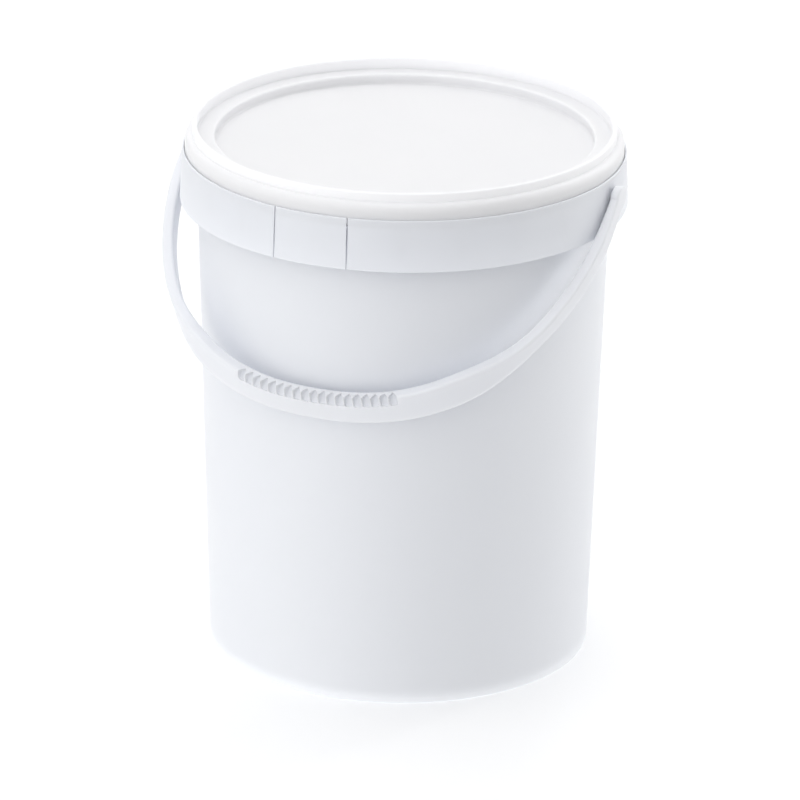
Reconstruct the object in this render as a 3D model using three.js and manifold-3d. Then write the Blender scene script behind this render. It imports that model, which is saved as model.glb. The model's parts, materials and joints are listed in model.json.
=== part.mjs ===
import * as THREE from 'three';
import { mergeVertices } from 'three/addons/utils/BufferGeometryUtils.js';
import Module from 'manifold-3d';

// A moulded plastic bucket with its lid pressed on and a plastic bail handle hanging in front.
// Millimetres, +Z up. The origin is on the bucket's axis, on the surface that it stands on.
// The handle's pivots lie along X, and the handle hangs over the front, which is -Y.
// Headings round the axis are in degrees, from the front towards +X.

// Bucket: wall, floor and foot
const BUCKET_HEIGHT = 358.4;
const FOOT_RADIUS = 129.8; // outside of the wall, carried down to the standing surface
const WALL_LEAN = 10.5; // outside of the wall at the rim, beyond the foot's
const WALL = 1.8;
const FLOOR = 2.2;
const FOOT_LIFT = 3; // underside of the floor above the standing surface
const FOOT_BAND = 8; // width of the ring that the bucket stands on
const FOOT_ROUND = 1;
const FLOOR_ROUND = 4; // inside corner between the floor and the wall

// Bucket: rim bead that the lid grips
const BEAD_REACH = 2.9; // outwards from the wall
const BEAD_DEPTH = 5; // from the rim down
const RIM_ROUND = 1.1;

// Bucket: collar, the skirt that stands off the wall under the rim
const COLLAR_DROP = 6.8; // upper edge below the rim
const COLLAR_HEIGHT = 35.3;
const COLLAR_REACH = 9.3; // outside of the upper edge beyond the mouth radius
const COLLAR_FLARE = 1.4; // the lower edge is this much wider
const COLLAR_WALL = 1.3;
const WEB_DROP = 6; // web's upper face below the collar's upper edge
const WEB = 1.5;
const RIB_COUNT = 24;
const RIB = 1.2;
const RIB_DEPTH = 18; // from the web down

// Bucket: tear tab, a length of the collar between two slits
const TAB_HEADING = -1.5;
const TAB_ARC = 20.1;
const SLIT = 1;

// Bucket: pads behind the pivot holes
const PIVOT_HEADINGS = [90, -90];
const PAD_WALL = 2.8; // collar and pad together, at the hole
const PAD_HALF_WIDTH = 9;
const PAD_DEPTH = 20; // from the web down

// Lid
const LID_SEAT_GAP = 0.3; // ledge over the rim
const LID_WALL = 1.8;
const LID_SKIN = 1.4; // shoulder and skirt
const LEDGE_OVERLAP = 2.2; // how far in the ledge reaches under the foot of a bucket stacked on it
const PANEL_DROP = 6.9; // panel below the ledge
const PANEL_ROUND = 1.5;
const STACK_WALL = 3.3; // upstanding wall round the ledge
const STACK_WALL_HEIGHT = 7.7;
const STACK_WALL_INSET = 0.8; // its inner face inside the mouth radius
const STACK_WALL_ROUND = 1.2;
const SHOULDER_RISE = 1.7; // top of the shoulder above the ledge
const SHOULDER_HEIGHT = 6.4;
const SKIRT_GAP = 0.4; // skirt to the inside of the collar
const SKIRT_FOOT_GAP = 0.5; // skirt over the web
const PLUG_GAP = 0.5; // plug lip to the inside of the bucket's wall
const PLUG_LIP = 1.5;
const PLUG_DEPTH = 8;
const SNAP_GAP = 0.4; // snap ridge to the rim bead
const SNAP_HEIGHT = 2.6;

// Handle: curve, arms and grip
const HANDLE_GAP = 1.5; // arms to the collar, at the pivots
const HANDLE_REACH = 184; // pivot axis to the middle of the grip's inner face
const HANDLE_FULLNESS = 2.3; // 2 is an ellipse, more is squarer
const HANDLE_REST_GAP = 0.3; // grip to the wall that it rests on
const ARM_WIDTH = 12.4; // across the handle's plane
const ARM_THICKNESS = 7.9; // in the handle's plane
const GRIP_WIDTH = 20.9;
const GRIP_THICKNESS = 8.4;
const GRIP_ROLL = 21.6; // degrees that its section turns out of the handle's plane
const GRIP_LENGTH = 180;
const GRIP_BLEND = 70;
const EDGE_ROUND = 1.8;

// Handle: notches across the grip's upper outer edge
const NOTCH_COUNT = 19;
const NOTCH_PITCH = 6;
const NOTCH_WIDTH = 5.2;
const NOTCH_TOP_REACH = 5.8; // from the edge, over the upper face
const NOTCH_FRONT_REACH = 6.9; // from the edge, down the outer face
const NOTCH_ROUND = 1.2; // corners along its bottom

// Handle: round ends, pins and their heads
const EYE_RADIUS = 8;
const EYE_THICKNESS = 6;
const EYE_ROUND = 1.2;
const EYE_BLEND = 45; // length over which an arm thins to its eye
const PIN_RADIUS = 4;
const PIN_GAP = 0.35; // pin to its hole
const PIN_HEAD_RADIUS = 5.2;
const PIN_HEAD = 2.6;
const PIN_HEAD_CHAMFER = 1.2;
const PIN_HEAD_GAP = 0.5; // head to the pad behind the hole
const PIVOT_HEADROOM = 0.7; // pin heads under the web

// Fineness of the facets
const TURN_STEPS = 72;
const PIN_STEPS = 32;
const ROUND_STEPS = 3;
const HANDLE_STEPS = 72;
const CURVE_SAMPLES = 720;
const CUT_MARGIN = 2; // how far a cutter runs past what it cuts
const MERGE_DISTANCE = 1e-4;

// Heights and radii that follow from the sizes
const mouthRadius = FOOT_RADIUS + WALL_LEAN;
const wallRadius = (height) => FOOT_RADIUS + (WALL_LEAN * height) / BUCKET_HEIGHT;
const collarTop = BUCKET_HEIGHT - COLLAR_DROP;
const collarBottom = collarTop - COLLAR_HEIGHT;
const collarRadius = (height) =>
  mouthRadius + COLLAR_REACH + (COLLAR_FLARE * (collarTop - height)) / COLLAR_HEIGHT;
const collarInside = (height) => collarRadius(height) - COLLAR_WALL;
const webTop = collarTop - WEB_DROP;
const webBottom = webTop - WEB;
const beadRadius = mouthRadius + BEAD_REACH;
const pivotHeight = webBottom - PIVOT_HEADROOM - PIN_HEAD_RADIUS;
const padInside = collarRadius(pivotHeight) - PAD_WALL;
const halfSpan = collarRadius(pivotHeight) + HANDLE_GAP;

const wasm = await Module();
wasm.setup();

// Turns a closed geometry into a solid, leaving out the empty triangles at a pole.
function solidOf(geometry) {
  const bare = geometry.clone();
  bare.deleteAttribute('normal');
  bare.deleteAttribute('uv');
  const merged = mergeVertices(bare, MERGE_DISTANCE);
  const corners = merged.index.array;
  const kept = [];
  for (let i = 0; i < corners.length; i += 3) {
    const [a, b, c] = [corners[i], corners[i + 1], corners[i + 2]];
    if (a !== b && b !== c && c !== a) kept.push(a, b, c);
  }
  return new wasm.Manifold(new wasm.Mesh({
    numProp: 3,
    vertProperties: new Float32Array(merged.attributes.position.array),
    triVerts: new Uint32Array(kept),
  }));
}

// Turns a solid back into a geometry.
function geometryOf(solid) {
  const { vertProperties, triVerts } = solid.getMesh();
  const geometry = new THREE.BufferGeometry();
  geometry.setAttribute('position', new THREE.BufferAttribute(vertProperties, 3));
  geometry.setIndex(new THREE.BufferAttribute(triVerts, 1));
  geometry.computeVertexNormals();
  return geometry;
}

const joined = (solids) => solids.reduce((whole, solid) => whole.add(solid));

// A point of a turned profile: radius and height.
const at = (radius, height) => new THREE.Vector2(radius, height);

// Points of a turned profile on a quarter or part of an ellipse, its angles in degrees.
function arc(radius, height, across, up, from, to, steps = ROUND_STEPS) {
  return Array.from({ length: steps + 1 }, (_, i) => {
    const angle = THREE.MathUtils.degToRad(from + ((to - from) * i) / steps);
    return at(radius + across * Math.cos(angle), height + up * Math.sin(angle));
  });
}

// A profile turned about the vertical axis, from the front round.
function turned(profile, steps = TURN_STEPS) {
  const geometry = new THREE.LatheGeometry(profile, steps);
  geometry.rotateX(Math.PI / 2);
  return solidOf(geometry);
}

// A box from its middle, turned to a heading, with its depth lying along the radius.
function boxAtHeading(width, depth, height, radius, middle, heading) {
  const geometry = new THREE.BoxGeometry(width, depth, height);
  geometry.translate(0, -radius, middle);
  geometry.rotateZ(THREE.MathUtils.degToRad(heading));
  return solidOf(geometry);
}

// Wall, floor, foot, rim, collar and web of the bucket, as one turned profile.
function bucketProfile() {
  const footInside = FOOT_RADIUS - FOOT_BAND;
  const floorTop = FOOT_LIFT + FLOOR;
  const beadBottom = BUCKET_HEIGHT - BEAD_DEPTH;
  const collarLip = COLLAR_WALL / 2;
  return [
    at(0, FOOT_LIFT),
    at(footInside - FOOT_LIFT, FOOT_LIFT),
    at(footInside, 0),
    ...arc(FOOT_RADIUS - FOOT_ROUND, FOOT_ROUND, FOOT_ROUND, FOOT_ROUND, -90, 0),
    at(wallRadius(webBottom), webBottom),
    at(collarInside(webBottom), webBottom),
    at(collarInside(collarBottom), collarBottom),
    at(collarRadius(collarBottom), collarBottom),
    ...arc(collarRadius(collarTop) - collarLip, collarTop - collarLip, collarLip, collarLip, 0, 180),
    at(collarInside(webTop), webTop),
    at(wallRadius(webTop), webTop),
    at(wallRadius(beadBottom - BEAD_REACH), beadBottom - BEAD_REACH),
    at(beadRadius, beadBottom),
    ...arc(beadRadius - RIM_ROUND, BUCKET_HEIGHT - RIM_ROUND, RIM_ROUND, RIM_ROUND, 0, 90),
    ...arc(mouthRadius - WALL + RIM_ROUND, BUCKET_HEIGHT - RIM_ROUND, RIM_ROUND, RIM_ROUND, 90, 180),
    ...arc(wallRadius(floorTop) - WALL - FLOOR_ROUND, floorTop + FLOOR_ROUND, FLOOR_ROUND, FLOOR_ROUND, 0, -90),
    at(0, floorTop),
  ];
}

// Thin upright ribs between the wall and the collar, under the web, clear of pads and tear tab.
function collarRibs() {
  const bottom = webBottom - RIB_DEPTH;
  const top = webTop - WEB / 2;
  const wallMiddle = (height) => wallRadius(height) - WALL / 2;
  const collarMiddle = (height) => collarRadius(height) - COLLAR_WALL / 2;
  const channel = turned([
    at(wallMiddle(bottom), bottom),
    at(collarMiddle(bottom), bottom),
    at(collarMiddle(top), top),
    at(wallMiddle(top), top),
    at(wallMiddle(bottom), bottom),
  ]);
  const pitch = 360 / RIB_COUNT;
  const headings = Array.from({ length: RIB_COUNT }, (_, i) => (i + 0.5) * pitch - 180);
  const plates = headings
    .filter((heading) => Math.abs(heading - TAB_HEADING) > TAB_ARC / 2)
    .map((heading) => boxAtHeading(
      RIB,
      4 * COLLAR_REACH,
      2 * (top - bottom),
      (wallMiddle(top) + collarMiddle(bottom)) / 2,
      (top + bottom) / 2,
      heading,
    ));
  return channel.intersect(joined(plates));
}

// One thickened pad on the inside of the collar, round a pivot hole.
function pivotPad(heading) {
  const top = webTop - WEB / 2;
  const outside = collarInside(pivotHeight) + COLLAR_WALL / 2;
  return boxAtHeading(
    2 * PAD_HALF_WIDTH,
    outside - padInside,
    PAD_DEPTH + WEB / 2,
    (outside + padInside) / 2,
    top - (PAD_DEPTH + WEB / 2) / 2,
    heading,
  );
}

// A cutter for both pivot holes, along X.
function pivotHoles() {
  const holes = [-1, 1].map((side) => {
    const length = PAD_WALL + 2 * CUT_MARGIN;
    const radius = PIN_RADIUS + PIN_GAP;
    const geometry = new THREE.CylinderGeometry(radius, radius, length, PIN_STEPS);
    geometry.rotateZ(Math.PI / 2);
    geometry.translate(side * (padInside + PAD_WALL / 2), 0, pivotHeight);
    return solidOf(geometry);
  });
  return joined(holes);
}

// A cutter for the two slits beside the tear tab, through the collar only.
function tabSlits() {
  const depth = COLLAR_WALL + COLLAR_FLARE + 1;
  const slits = [-0.5, 0.5].map((side) => boxAtHeading(
    SLIT,
    depth,
    COLLAR_HEIGHT + 2 * CUT_MARGIN,
    collarRadius(collarBottom) + 0.5 - depth / 2,
    (collarTop + collarBottom) / 2,
    TAB_HEADING + side * TAB_ARC,
  ));
  return joined(slits);
}

function bucket() {
  return turned(bucketProfile())
    .add(collarRibs())
    .add(joined(PIVOT_HEADINGS.map(pivotPad)))
    .subtract(pivotHoles())
    .subtract(tabSlits());
}

// The lid: panel, ledge, upstanding wall, shoulder, skirt with snap ridge, and plug lip.
function lidProfile() {
  const ledgeBottom = BUCKET_HEIGHT + LID_SEAT_GAP;
  const ledgeTop = ledgeBottom + LID_WALL;
  const panelTop = ledgeTop - PANEL_DROP;
  const panelRadius = FOOT_RADIUS - LEDGE_OVERLAP;
  const stackInside = mouthRadius - STACK_WALL_INSET;
  const stackOutside = stackInside + STACK_WALL;
  const stackTop = ledgeTop + STACK_WALL_HEIGHT;
  const plugOutside = wallRadius(ledgeBottom - PLUG_DEPTH) - WALL - PLUG_GAP;
  const plugInside = plugOutside - PLUG_LIP;
  const skirtOutside = collarInside(collarTop) - SKIRT_GAP;
  const skirtInside = skirtOutside - LID_SKIN;
  const skirtBottom = webTop + SKIRT_FOOT_GAP;
  const shoulderBottom = ledgeTop + SHOULDER_RISE - SHOULDER_HEIGHT;
  const shoulderReach = skirtOutside - stackOutside;
  const snapRadius = beadRadius + SNAP_GAP;
  const snapMiddle = skirtBottom + SNAP_HEIGHT;
  return [
    at(0, panelTop - LID_WALL),
    at(panelRadius + LID_WALL - PANEL_ROUND, panelTop - LID_WALL),
    at(panelRadius + LID_WALL, panelTop - LID_WALL + PANEL_ROUND),
    at(panelRadius + LID_WALL, ledgeBottom),
    at(plugInside, ledgeBottom),
    at(plugInside, ledgeBottom - PLUG_DEPTH),
    at(plugOutside - PLUG_LIP / 2, ledgeBottom - PLUG_DEPTH),
    at(plugOutside, ledgeBottom - PLUG_DEPTH + PLUG_LIP),
    at(plugOutside, ledgeBottom),
    at(skirtInside - LID_SKIN, ledgeBottom),
    at(skirtInside, shoulderBottom),
    at(skirtInside, snapMiddle + SNAP_HEIGHT),
    at(snapRadius, snapMiddle),
    at(snapRadius, snapMiddle - SNAP_HEIGHT / 3),
    at(skirtInside, skirtBottom),
    at(skirtOutside, skirtBottom),
    ...arc(stackOutside, shoulderBottom, shoulderReach, SHOULDER_HEIGHT, 0, 90, 2 * ROUND_STEPS),
    ...arc(stackOutside - STACK_WALL_ROUND, stackTop - STACK_WALL_ROUND,
      STACK_WALL_ROUND, STACK_WALL_ROUND, 0, 90),
    ...arc(stackInside + STACK_WALL_ROUND, stackTop - STACK_WALL_ROUND,
      STACK_WALL_ROUND, STACK_WALL_ROUND, 90, 180),
    at(stackInside, ledgeTop),
    ...arc(panelRadius + PANEL_ROUND, ledgeTop - PANEL_ROUND, PANEL_ROUND, PANEL_ROUND, 90, 180),
    at(panelRadius, panelTop),
    at(0, panelTop),
  ];
}

// The inside curve of the handle, from the pivot at +X round the front to the pivot at -X.
class HandleCurve extends THREE.Curve {
  getPoint(t, target = new THREE.Vector3()) {
    const power = 2 / HANDLE_FULLNESS;
    const across = Math.cos(Math.PI * t);
    const forward = Math.abs(Math.sin(Math.PI * t));
    const x = halfSpan * Math.sign(across) * Math.abs(across) ** power;
    return target.set(x, -HANDLE_REACH * forward ** power, 0);
  }
}

const handleCurve = new HandleCurve();
handleCurve.arcLengthDivisions = CURVE_SAMPLES;
const handleLength = handleCurve.getLength();

// Place, outward and upward directions of the section, width and thickness of the handle at a
// fraction of its length.
function handleStation(fraction) {
  const fromMiddle = Math.abs(fraction - 0.5) * handleLength;
  const fromEnd = handleLength / 2 - fromMiddle;
  const arm = THREE.MathUtils.smoothstep(fromMiddle, GRIP_LENGTH / 2, GRIP_LENGTH / 2 + GRIP_BLEND);
  const eye = THREE.MathUtils.smoothstep(EYE_BLEND - fromEnd, 0, EYE_BLEND);
  const thickness = THREE.MathUtils.lerp(GRIP_THICKNESS, ARM_THICKNESS, arm);
  const tangent = handleCurve.getTangentAt(fraction);
  const roll = THREE.MathUtils.degToRad(GRIP_ROLL) * (1 - arm);
  const upward = new THREE.Vector3(0, 0, 1).applyAxisAngle(tangent, roll);
  return {
    place: handleCurve.getPointAt(fraction),
    outward: upward.clone().cross(tangent),
    upward,
    width: THREE.MathUtils.lerp(GRIP_WIDTH, ARM_WIDTH, arm),
    thickness: THREE.MathUtils.lerp(thickness, EYE_THICKNESS, eye),
  };
}

// The handle's section at a station: a rectangle with rounded corners, as points in space.
function handleSection({ place, outward, upward, width, thickness }) {
  const corners = [
    [thickness - EDGE_ROUND, width / 2 - EDGE_ROUND, 0],
    [EDGE_ROUND, width / 2 - EDGE_ROUND, 90],
    [EDGE_ROUND, EDGE_ROUND - width / 2, 180],
    [thickness - EDGE_ROUND, EDGE_ROUND - width / 2, 270],
  ];
  return corners.flatMap(([out, up, from]) =>
    arc(out, up, EDGE_ROUND, EDGE_ROUND, from, from + 90, ROUND_STEPS - 1).map((point) =>
      place.clone().addScaledVector(outward, point.x).addScaledVector(upward, point.y)));
}

// Rings of points joined one to the next, with both ends closed.
function loft(rings) {
  const size = rings[0].length;
  const index = [];
  for (let ring = 0; ring < rings.length - 1; ring += 1) {
    for (let i = 0; i < size; i += 1) {
      const a = ring * size + i;
      const b = ring * size + ((i + 1) % size);
      index.push(a, b, a + size, b, b + size, a + size);
    }
  }
  const last = (rings.length - 1) * size;
  for (let i = 1; i < size - 1; i += 1) {
    index.push(0, i + 1, i);
    index.push(last, last + i, last + i + 1);
  }
  const geometry = new THREE.BufferGeometry().setFromPoints(rings.flat());
  geometry.setIndex(index);
  return solidOf(geometry);
}

// Head, pin and round eye at one end of the handle, turned about the pivot axis.
function pivotEnd(side) {
  const headOutside = padInside - PIN_HEAD_GAP;
  const headInside = headOutside - PIN_HEAD;
  const eyeOutside = halfSpan + EYE_THICKNESS;
  const geometry = new THREE.LatheGeometry([
    at(0, headInside),
    at(PIN_HEAD_RADIUS - PIN_HEAD_CHAMFER, headInside),
    at(PIN_HEAD_RADIUS, headInside + PIN_HEAD_CHAMFER),
    at(PIN_HEAD_RADIUS, headOutside),
    at(PIN_RADIUS, headOutside),
    at(PIN_RADIUS, halfSpan),
    at(EYE_RADIUS, halfSpan),
    ...arc(EYE_RADIUS - EYE_ROUND, eyeOutside - EYE_ROUND, EYE_ROUND, EYE_ROUND, 0, 90),
    at(0, eyeOutside),
  ], PIN_STEPS);
  geometry.rotateZ(-side * Math.PI / 2);
  return solidOf(geometry);
}

// A cutter for one notch: a groove with round bottom corners, slanting across the upper outer edge.
function notch(fraction) {
  const { place, outward, upward, width, thickness } = handleStation(fraction);
  const slant = outward.clone().multiplyScalar(NOTCH_TOP_REACH)
    .addScaledVector(upward, -NOTCH_FRONT_REACH).normalize();
  const opening = outward.clone().multiplyScalar(NOTCH_FRONT_REACH)
    .addScaledVector(upward, NOTCH_TOP_REACH).normalize();
  const start = place.clone()
    .addScaledVector(outward, thickness - NOTCH_TOP_REACH)
    .addScaledVector(upward, width / 2)
    .addScaledVector(slant, -CUT_MARGIN);
  const half = NOTCH_WIDTH / 2;
  const top = Math.max(NOTCH_TOP_REACH, NOTCH_FRONT_REACH);
  const section = new THREE.Shape();
  section.moveTo(-half, top);
  section.lineTo(-half, NOTCH_ROUND);
  section.absarc(NOTCH_ROUND - half, NOTCH_ROUND, NOTCH_ROUND, Math.PI, 1.5 * Math.PI, false);
  section.absarc(half - NOTCH_ROUND, NOTCH_ROUND, NOTCH_ROUND, 1.5 * Math.PI, 2 * Math.PI, false);
  section.lineTo(half, top);
  const geometry = new THREE.ExtrudeGeometry(section, {
    depth: Math.hypot(NOTCH_TOP_REACH, NOTCH_FRONT_REACH) + 2 * CUT_MARGIN,
    curveSegments: ROUND_STEPS,
    bevelEnabled: false,
  });
  const frame = new THREE.Matrix4().makeBasis(opening.clone().cross(slant), opening, slant);
  geometry.applyMatrix4(frame.setPosition(start));
  return solidOf(geometry);
}

// The handle lying flat: its plane is XY, its pivot axis is X, and the grip is at -Y.
function handle() {
  const rings = Array.from({ length: HANDLE_STEPS + 1 }, (_, i) => handleSection(handleStation(i / HANDLE_STEPS)));
  const notches = Array.from({ length: NOTCH_COUNT }, (_, i) =>
    notch(0.5 + ((i - (NOTCH_COUNT - 1) / 2) * NOTCH_PITCH) / handleLength));
  return loft(rings)
    .add(pivotEnd(1))
    .add(pivotEnd(-1))
    .subtract(joined(notches));
}

// How far below level the handle hangs, in radians, when the grip's lower inner edge rests on
// the wall.
function hangAngle() {
  const taper = WALL_LEAN / BUCKET_HEIGHT;
  const roll = THREE.MathUtils.degToRad(GRIP_ROLL);
  const edgeReach = HANDLE_REACH + (GRIP_WIDTH / 2) * Math.sin(roll);
  const edgeDepth = (GRIP_WIDTH / 2) * Math.cos(roll);
  const level = edgeReach + taper * edgeDepth;
  const upright = taper * edgeReach - edgeDepth;
  const target = wallRadius(pivotHeight) + HANDLE_REST_GAP * Math.hypot(1, taper);
  return Math.atan2(upright, level) + Math.acos(target / Math.hypot(level, upright));
}

function plastic(colour, roughness) {
  return new THREE.MeshStandardMaterial({ color: colour, roughness, metalness: 0, flatShading: true });
}

function part(name, solid, material) {
  const mesh = new THREE.Mesh(geometryOf(solid), material);
  mesh.name = name;
  return mesh;
}

const group = new THREE.Group();
group.add(part('bucket', bucket(), plastic(0xf1f2f5, 0.42)));
group.add(part('lid', turned(lidProfile()), plastic(0xf4f5f6, 0.38)));

const bail = new THREE.Group();
bail.position.z = pivotHeight;
bail.rotation.x = hangAngle();
bail.add(part('handle', handle(), plastic(0xeff0f3, 0.45)));
group.add(bail);

export default group;
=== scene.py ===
"""A white moulded bucket with its lid pressed on and a plastic bail handle hanging in front.

Lengths are in millimetres until a mesh is made, and the scene itself is in metres. Headings
round the axis are in degrees from the front, which is -Y, towards +X.
"""
import json
import math

import bpy
import numpy as np
from mathutils import Matrix, Vector

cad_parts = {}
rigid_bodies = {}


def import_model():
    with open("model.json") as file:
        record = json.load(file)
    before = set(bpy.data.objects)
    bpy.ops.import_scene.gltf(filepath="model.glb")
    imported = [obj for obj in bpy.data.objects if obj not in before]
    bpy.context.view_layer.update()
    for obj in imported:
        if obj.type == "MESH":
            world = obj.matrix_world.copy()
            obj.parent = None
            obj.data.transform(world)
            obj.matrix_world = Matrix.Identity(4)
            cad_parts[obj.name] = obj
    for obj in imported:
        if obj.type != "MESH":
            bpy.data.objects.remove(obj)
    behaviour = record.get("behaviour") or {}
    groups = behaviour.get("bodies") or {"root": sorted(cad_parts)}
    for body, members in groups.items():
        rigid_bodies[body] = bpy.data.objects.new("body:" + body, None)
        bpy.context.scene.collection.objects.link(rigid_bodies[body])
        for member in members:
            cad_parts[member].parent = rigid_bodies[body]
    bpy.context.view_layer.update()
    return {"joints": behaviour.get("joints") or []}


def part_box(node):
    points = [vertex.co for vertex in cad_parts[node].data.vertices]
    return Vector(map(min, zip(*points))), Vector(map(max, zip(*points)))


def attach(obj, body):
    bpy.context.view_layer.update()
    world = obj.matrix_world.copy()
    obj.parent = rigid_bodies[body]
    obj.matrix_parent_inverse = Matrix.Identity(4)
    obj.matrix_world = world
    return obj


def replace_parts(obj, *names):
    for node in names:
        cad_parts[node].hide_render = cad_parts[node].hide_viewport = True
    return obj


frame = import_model()

MM = 0.001

# Sizes that the frame gives
BUCKET_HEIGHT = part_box("bucket")[1].z / MM
LID_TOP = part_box("lid")[1].z / MM
SKIRT_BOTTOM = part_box("lid")[0].z / MM
SKIRT_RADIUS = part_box("lid")[1].x / MM
COLLAR_FOOT_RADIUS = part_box("bucket")[1].x / MM
PIVOT_HEIGHT = next(j for j in frame["joints"] if j["name"] == "handle_swing")["pos_m"][2] / MM

# Bucket
FOOT_RADIUS = 129.8
WALL_LEAN = 10.5
WALL = 1.8
FLOOR = 2.2
FOOT_LIFT = 3.0
FOOT_BAND = 8.0
FOOT_ROUND = 1.0
FLOOR_ROUND = 4.0
BEAD_REACH = 2.9
BEAD_DEPTH = 5.0
COLLAR_DROP = 6.8
COLLAR_HEIGHT = 35.3
COLLAR_FLARE = 1.4
COLLAR_WALL = 1.3
WEB_DROP = 6.0
WEB = 1.5
TAB_HEADING = -1.5
TAB_ARC = 20.1
SLIT = 1.0
SLIT_DEPTH = 0.5
RIB_COUNT = 24
RIB = 1.2
RIB_DEPTH = 18.0
PAD_WALL = 2.8
PAD_HALF_WIDTH = 9.0
PAD_DEPTH = 20.0

MOUTH_RADIUS = FOOT_RADIUS + WALL_LEAN
COLLAR_TOP = BUCKET_HEIGHT - COLLAR_DROP
COLLAR_BOTTOM = COLLAR_TOP - COLLAR_HEIGHT
WEB_TOP = COLLAR_TOP - WEB_DROP
WEB_BOTTOM = WEB_TOP - WEB
FLOOR_TOP = FOOT_LIFT + FLOOR

# Lid
LID_SEAT_GAP = 0.3
LID_WALL = 1.8
LID_SKIN = 1.4
LEDGE_OVERLAP = 2.2
PANEL_DROP = 6.9
STACK_WALL = 3.3
STACK_WALL_INSET = 0.8
SHOULDER_RISE = 1.7
SHOULDER_HEIGHT = 6.4
PLUG_GAP = 0.5
PLUG_LIP = 1.5
PLUG_DEPTH = 8.0
SNAP_GAP = 0.4
SNAP_HEIGHT = 2.6

# Handle
HANDLE_GAP = 1.5
HANDLE_REACH = 184.0
HANDLE_FULLNESS = 2.3
HANDLE_REST_GAP = 0.3
ARM_WIDTH = 12.4
ARM_THICKNESS = 7.9
GRIP_WIDTH = 20.9
GRIP_THICKNESS = 8.4
GRIP_ROLL = 21.6
GRIP_LENGTH = 180.0
GRIP_BLEND = 70.0
EDGE_ROUND = 1.8
NOTCH_COUNT = 19
NOTCH_PITCH = 6.0
NOTCH_WIDTH = 5.2
NOTCH_TOP_REACH = 5.8
NOTCH_FRONT_REACH = 6.9
NOTCH_ROUND = 1.2
NOTCH_LIP = 0.25
NOTCH_SINK = 1.2
NOTCH_END = 0.6
NOTCH_PEAK = 3.4
EYE_RADIUS = 8.0
EYE_THICKNESS = 6.0
EYE_BLEND = 45.0
PIN_RADIUS = 4.0
PIN_GAP = 0.35
PIN_HEAD_RADIUS = 5.2
PIN_HEAD = 2.6
PIN_HEAD_GAP = 0.5
PIN_HEAD_ROUND = 1.4

# Fineness of the meshes
TURN_STEP = 1.25
ARC_STEP = 15.0
SUPPORT = 0.4
SHARP_ANGLE = 32.0
PIN_STEP = 7.5
HOLE_STEPS = 96
PAD_STEPS = 12
ARM_RINGS = 90
PATH_SAMPLES = 4001
CUTTER_MARGIN = 1.5


def wall_radius(height):
    return FOOT_RADIUS + WALL_LEAN * height / BUCKET_HEIGHT


def collar_radius(height):
    return COLLAR_FOOT_RADIUS - COLLAR_FLARE * (height - COLLAR_BOTTOM) / COLLAR_HEIGHT


def collar_inside(height):
    return collar_radius(height) - COLLAR_WALL


PAD_INSIDE = collar_radius(PIVOT_HEIGHT) - PAD_WALL
HALF_SPAN = collar_radius(PIVOT_HEIGHT) + HANDLE_GAP


# Profiles

def rounded(corners):
    """A fine outline through corners (radius, height, rounding), with each corner rounded off."""
    points = [np.array(c[:2], float) for c in corners]
    outline = [points[0]]
    for before, corner, after, (_, _, rounding) in zip(points, points[1:], points[2:], corners[1:-1]):
        if rounding == 0:
            outline.append(corner)
            continue
        back = (before - corner) / np.linalg.norm(before - corner)
        ahead = (after - corner) / np.linalg.norm(after - corner)
        inside = math.acos(np.clip(back @ ahead, -1, 1))
        reach = rounding / math.tan(inside / 2)
        room = 0.49 * min(np.linalg.norm(before - corner), np.linalg.norm(after - corner))
        reach = min(reach, room)
        middle = (back + ahead) / np.linalg.norm(back + ahead)
        radius = reach * math.tan(inside / 2)
        centre = corner + middle * math.hypot(reach, radius)
        start, end = corner + back * reach, corner + ahead * reach
        turn = math.pi - inside
        steps = max(2, round(math.degrees(turn) / ARC_STEP))
        if room - reach > SUPPORT:
            outline.append(start + back * SUPPORT)
        first, last = start - centre, end - centre
        for i in range(steps + 1):
            share = i / steps
            ray = first * math.sin((1 - share) * turn) + last * math.sin(share * turn)
            outline.append(centre + ray / math.sin(turn))
        if room - reach > SUPPORT:
            outline.append(end + ahead * SUPPORT)
    outline.append(points[-1])
    return np.array(outline)


def bucket_outline():
    """The bucket's section, from the middle of its underside round to the middle of its floor."""
    foot_inside = FOOT_RADIUS - FOOT_BAND
    bead_bottom = BUCKET_HEIGHT - BEAD_DEPTH
    bead = MOUTH_RADIUS + BEAD_REACH
    slit_root = collar_inside(WEB_BOTTOM) - SLIT_DEPTH
    return rounded([
        (0, FOOT_LIFT, 0),
        (foot_inside - FOOT_LIFT, FOOT_LIFT, 1.0),
        (foot_inside, 0, 0.6),
        (FOOT_RADIUS, 0, FOOT_ROUND),
        (wall_radius(WEB_BOTTOM), WEB_BOTTOM, 0.6),
        (slit_root, WEB_BOTTOM, 0),
        (collar_inside(WEB_BOTTOM), WEB_BOTTOM, 0.3),
        (collar_inside(COLLAR_BOTTOM), COLLAR_BOTTOM, 0.3),
        (collar_radius(COLLAR_BOTTOM), COLLAR_BOTTOM, 0.5),
        (collar_radius(COLLAR_TOP), COLLAR_TOP, 0.5),
        (collar_inside(COLLAR_TOP), COLLAR_TOP, 0.4),
        (collar_inside(WEB_TOP), WEB_TOP, 0.3),
        (slit_root, WEB_TOP, 0),
        (wall_radius(WEB_TOP), WEB_TOP, 0.6),
        (wall_radius(bead_bottom - BEAD_REACH), bead_bottom - BEAD_REACH, 0.8),
        (bead, bead_bottom, 0.8),
        (bead, BUCKET_HEIGHT, 1.1),
        (MOUTH_RADIUS - WALL, BUCKET_HEIGHT, 1.0),
        (wall_radius(FLOOR_TOP) - WALL, FLOOR_TOP, FLOOR_ROUND),
        (0, FLOOR_TOP, 0),
    ])


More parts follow.
